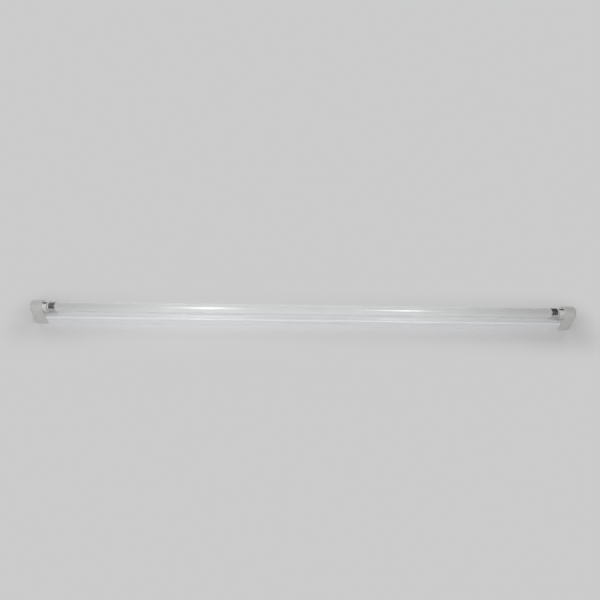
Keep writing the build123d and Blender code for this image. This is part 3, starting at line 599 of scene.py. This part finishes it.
def coated_glass(name):
    """White coating under clear glass: cloudy, and greyer towards both ends, from use and as painted shade.
    """
    finish, tree, shader = new_finish(name)
    cloud = effect(tree, surface_grain, Size=TUBE_CLOUD_SIZE)
    # Greyer towards both ends: partly greying from use, partly painted shade.
    greying_and_shade = along_axis(tree, "X", TUBE_END_SHADE_START, TUBE_END_SHADE_FULL)
    coating = blend_colours(tree, cloud, *TUBE_COLOURS)
    coating = blend_colours(tree, greying_and_shade, coating, TUBE_END_GREY_AND_SHADE_COLOUR)
    tree.links.new(coating, shader.inputs["Base Color"])
    tree.links.new(between(tree, cloud, *COATING_ROUGHNESS), shader.inputs["Roughness"])
    shader.inputs["Diffuse Roughness"].default_value = POWDER_ROUGHNESS
    shader.inputs["Specular IOR Level"].default_value = COATING_GLOSS
    shader.inputs["Coat Weight"].default_value = 1.0
    shader.inputs["Coat Roughness"].default_value = TUBE_GLASS_ROUGHNESS
    shader.inputs["Coat IOR"].default_value = TUBE_GLASS_BEND
    return finish


tube_low, tube_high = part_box("lamp_tube")
lamp_height = (tube_low.z + tube_high.z) / 2
lamp_glass = revolve("lamp_glass", tube_profile(), lamp_height)
lamp_glass.data.materials.append(coated_glass("coated_glass"))
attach(lamp_glass, "lamp")
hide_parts("lamp_tube")

# The thin coating lets light through to the reflector, so the tube casts no shadow on it.
lamp_glass.visible_shadow = False


# Lamp stems
# Clear glass stems, melted to the ends of the tube inside its caps, that seal it.
# Each holds a tungsten heater coil on two lead wires.
TUNGSTEN_COLOURS = ((0.36, 0.36, 0.38), (0.22, 0.22, 0.24))
TUNGSTEN_ROUGHNESS = (0.3, 0.45)
TUNGSTEN_LINES = (1800.0, 1800.0)

tungsten = bare_metal("tungsten", TUNGSTEN_COLOURS, TUNGSTEN_ROUGHNESS, TUNGSTEN_LINES)
dress(glass, "lamp_stem_left", "lamp_stem_right")
dress(tungsten, "cathode_left", "cathode_right")


# Lamp caps
# Drawn aluminium cups pressed over the ends of the glass, with a rolled rim and a bead that grips it.
# The face is turned in round a dark insulating disc, which carries two brass pins.
POLISHED_COLOURS = ((0.66, 0.66, 0.66), (0.58, 0.58, 0.58))
POLISHED_ROUGHNESS = (0.24, 0.34)
POLISHED_LINES = (2400.0, 12.0)
RESIN_COLOURS = ((0.1, 0.075, 0.06), (0.13, 0.1, 0.08))
RESIN_ROUGHNESS = (0.4, 0.55)
CUP_WALL = 0.00035
CUP_RIM_ROUND = 0.0003
CUP_FACE_ROUND = 0.0006
CUP_HOLE = 0.005
BEAD_PLACE = 0.0026
BEAD_HALF = 0.0006
BEAD_DEPTH = 0.00006
BEAD_STEPS = 13
RIM_STEPS = 7


def cup_profile(side):
    """Cup from its rim, along the outside with its bead, round the face and back along the inside.

    The bead is one wave of a cosine pressed into the wall. The left cup is the right one mirrored.
    """
    low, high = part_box("lamp_cap_right")
    rim, face = low.x, high.x
    outer = (high.z - low.z) / 2
    rim_centre = (rim + CUP_RIM_ROUND, outer - CUP_RIM_ROUND)
    rim_edge = quarter_round(rim_centre, CUP_RIM_ROUND, np.pi, np.pi / 2, RIM_STEPS)
    wave = np.linspace(-1.0, 1.0, BEAD_STEPS)
    bead_x = rim + BEAD_PLACE + BEAD_HALF * wave
    bead_radius = outer - BEAD_DEPTH * (1.0 + np.cos(np.pi * wave)) / 2.0
    bead = np.column_stack([bead_x, bead_radius])
    face_centre = (face - CUP_FACE_ROUND, outer - CUP_FACE_ROUND)
    face_edge = quarter_round(face_centre, CUP_FACE_ROUND, np.pi / 2, 0.0, RIM_STEPS)
    inside = [
        (face, CUP_HOLE),
        (face - CUP_WALL, CUP_HOLE),
        (face - CUP_WALL, outer - CUP_WALL),
        (rim, outer - CUP_WALL),
    ]
    return np.vstack([rim_edge, bead, face_edge, inside]) * (side, 1)


polished = bare_metal("polished_aluminium", POLISHED_COLOURS, POLISHED_ROUGHNESS, POLISHED_LINES)
resin = moulded("insulating_resin", RESIN_COLOURS, RESIN_ROUGHNESS)
for end, side in (("left", -1), ("right", 1)):
    cup = revolve(f"lamp_cup_{end}", cup_profile(side), lamp_height)
    cup.data.materials.append(polished)
    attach(cup, "lamp")
    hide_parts(f"lamp_cap_{end}")
    dress(resin, f"lamp_insulator_{end}")
    dress(brass, f"lamp_pins_{end}")


# Table
# A wide matt table, painted pale grey, that the light lies on and throws its shadow on.
# Away from the light it fades to the even colour of the room, so that no far edge shows.
TABLE_HALF = 4.0
TABLE_COLOUR = (0.74, 0.74, 0.745)
TABLE_ROUGHNESS = 0.9
TABLE_GLOSS = 0.1
FAR_COLOUR = (0.6, 0.6, 0.605)
FAR_START = 0.0
FAR_FULL = 0.07
ONE_FACE = [(0, 1, 2, 3)]


def vector_step(tree, operation, value, other=(0.0, 0.0, 0.0)):
    """One vector operation on an output and a fixed vector: the node."""
    step = tree.nodes.new("ShaderNodeVectorMath")
    step.operation = operation
    step.inputs[1].default_value = other
    tree.links.new(value, step.inputs[0])
    return step


def distance_outside(tree, half_size):
    """Distance to a box about the origin: the length of what each coordinate has beyond the half size."""
    place = tree.nodes.new("ShaderNodeTexCoord")
    outward = vector_step(tree, "ABSOLUTE", place.outputs["Object"])
    past = vector_step(tree, "SUBTRACT", outward.outputs["Vector"], half_size)
    beyond = vector_step(tree, "MAXIMUM", past.outputs["Vector"])
    return vector_step(tree, "LENGTH", beyond.outputs["Vector"]).outputs["Value"]


def table_finish(name, half_size):
    """Matt near the light. Further from its box, the eye, gloss and glass see the room's even colour."""
    finish, tree, shader = new_finish(name)
    shader.inputs["Base Color"].default_value = (*TABLE_COLOUR, 1.0)
    shader.inputs["Roughness"].default_value = TABLE_ROUGHNESS
    shader.inputs["Specular IOR Level"].default_value = TABLE_GLOSS
    far = smooth_rise(tree, distance_outside(tree, half_size), FAR_START, FAR_FULL)
    path = tree.nodes.new("ShaderNodeLightPath").outputs
    seen = calculate(tree, "MAXIMUM", path["Is Camera Ray"], path["Is Glossy Ray"])
    seen = calculate(tree, "MAXIMUM", seen, path["Is Transmission Ray"])
    glow = tree.nodes.new("ShaderNodeEmission")
    glow.inputs["Color"].default_value = (*FAR_COLOUR, 1.0)
    mix = tree.nodes.new("ShaderNodeMixShader")
    tree.links.new(calculate(tree, "MULTIPLY", far, seen), mix.inputs[0])
    tree.links.new(shader.outputs["BSDF"], mix.inputs[1])
    tree.links.new(glow.outputs["Emission"], mix.inputs[2])
    tree.links.new(mix.outputs["Shader"], tree.nodes["Material Output"].inputs["Surface"])
    return finish


table_corners = np.array([(-1, -1, 0), (1, -1, 0), (1, 1, 0), (-1, 1, 0)]) * TABLE_HALF
table = new_piece("table", table_corners, ONE_FACE)
table.data.materials.append(table_finish("table", (cad_box[1].x, cad_box[1].y, 0.0)))


# Room
# The plain room round the table, whose light softens every shadow.
# It is pale near the horizon and dims overhead, which the gloss of paint, glass and cups shows.
ROOM_LOW_COLOUR = (0.6, 0.6, 0.605)
ROOM_HIGH_COLOUR = (0.13, 0.13, 0.132)
ROOM_LOW_END = 0.18
ROOM_HIGH_START = 0.88

world = bpy.data.worlds.new("room")
scene.world = world
world.use_nodes = True
room = world.node_tree
direction = room.nodes.new("ShaderNodeTexCoord")
upward = room.nodes.new("ShaderNodeSeparateXYZ")
room.links.new(direction.outputs["Generated"], upward.inputs["Vector"])
dimming = smooth_rise(room, upward.outputs["Z"], ROOM_LOW_END, ROOM_HIGH_START)
room_colour = blend_colours(room, dimming, ROOM_LOW_COLOUR, ROOM_HIGH_COLOUR)
room.links.new(room_colour, room.nodes["Background"].inputs["Color"])


# Dark cards
# Two upright cards that only gloss and glass see, one behind the camera and one past the right end.
# They give the polished cups their dark bands.
CARD_TOP = 1.0
CARD_ROUGHNESS = 0.9
CARD_FEET = {
    "front_card": ((-1.8, -0.9), (1.8, -0.9)),
    "side_card": ((0.9, -0.4), (0.9, 1.3)),
}
CARD_COLOURS = {
    "front_card": (0.13, 0.13, 0.132),
    "side_card": (0.03, 0.03, 0.03),
}

for name, (foot, other_foot) in CARD_FEET.items():
    card_corners = [(*foot, 0.0), (*other_foot, 0.0), (*other_foot, CARD_TOP), (*foot, CARD_TOP)]
    card = new_piece(name, card_corners, ONE_FACE)
    card_finish, _, card_shader = new_finish(name)
    card_shader.inputs["Base Color"].default_value = (*CARD_COLOURS[name], 1.0)
    card_shader.inputs["Roughness"].default_value = CARD_ROUGHNESS
    card.data.materials.append(card_finish)
    card.visible_camera = False
    card.visible_diffuse = False
    card.visible_shadow = False


# Lamps
# Two long soft lamps hang over the front, left and right of the middle, and draw the streaks on the glass.
# Two low fill lamps behind brighten the back and the ends, and don't show in gloss.
STREAK_LAMP_DISTANCE = 0.5
STREAK_LAMP_RISE = math.radians(57.0)
STREAK_LAMP_PLACES = {"left": -0.257, "right": 0.265}
STREAK_LAMP_SIZES = {"left": (0.096, 0.64), "right": (0.115, 0.275)}
STREAK_LAMP_WATTS = {"left": 1.5, "right": 0.94}
FILL_LAMP_PLACES = {"left": Vector((-0.9, 0.85, 0.26)), "right": Vector((0.9, 0.85, 0.26))}
FILL_LAMP_SIZE = (0.5, 0.5)
FILL_LAMP_WATTS = 3.0


def soft_lamp(name, shape, size, watts, place, target):
    """A glowing panel of the given width and length that faces its target and is itself out of sight."""
    light = bpy.data.lights.new(name, "AREA")
    light.shape = shape
    light.size, light.size_y = size
    light.energy = watts
    lamp = bpy.data.objects.new(name, light)
    scene.collection.objects.link(lamp)
    lamp.location = place
    lamp.rotation_euler = (target - place).to_track_quat("-Z", "Y").to_euler()
    lamp.visible_camera = False
    return lamp


middle = Vector((0.0, 0.0, lamp_height))
ahead = STREAK_LAMP_DISTANCE * math.cos(STREAK_LAMP_RISE)
above = STREAK_LAMP_DISTANCE * math.sin(STREAK_LAMP_RISE)
for end, x in STREAK_LAMP_PLACES.items():
    target = middle + Vector((x, 0.0, 0.0))
    place = target + Vector((0.0, -ahead, above))
    size = STREAK_LAMP_SIZES[end]
    soft_lamp(f"streak_lamp_{end}", "ELLIPSE", size, STREAK_LAMP_WATTS[end], place, target)
for end, place in FILL_LAMP_PLACES.items():
    fill = soft_lamp(f"fill_lamp_{end}", "RECTANGLE", FILL_LAMP_SIZE, FILL_LAMP_WATTS, place, middle)
    fill.visible_glossy = False


# Camera
# The camera stands in front of the light, a little left of its middle, and looks down at it.
# It is turned a little about its line of sight.
CAMERA_PLACE = Vector((-0.00528, -0.53827, 0.61415))
CAMERA_PITCH = math.radians(46.19)
CAMERA_ROLL = math.radians(0.755)
PICTURE_WIDTH = 600.0
FOCAL_PIXELS = 487.2
SENSOR = 36.0

forward = Vector((0.0, math.cos(CAMERA_PITCH), -math.sin(CAMERA_PITCH)))
level = Vector((1.0, 0.0, 0.0))
upright = level.cross(forward)
across = level * math.cos(CAMERA_ROLL) + upright * math.sin(CAMERA_ROLL)
overhead = upright * math.cos(CAMERA_ROLL) - level * math.sin(CAMERA_ROLL)
camera_data = bpy.data.cameras.new("camera")
camera_data.sensor_fit = "HORIZONTAL"
camera_data.sensor_width = SENSOR
camera_data.lens = SENSOR * FOCAL_PIXELS / PICTURE_WIDTH
camera = bpy.data.objects.new("camera", camera_data)
scene.collection.objects.link(camera)
axes = Matrix((across, overhead, -forward)).transposed()
camera.matrix_world = Matrix.Translation(CAMERA_PLACE) @ axes.to_4x4()
scene.camera = camera
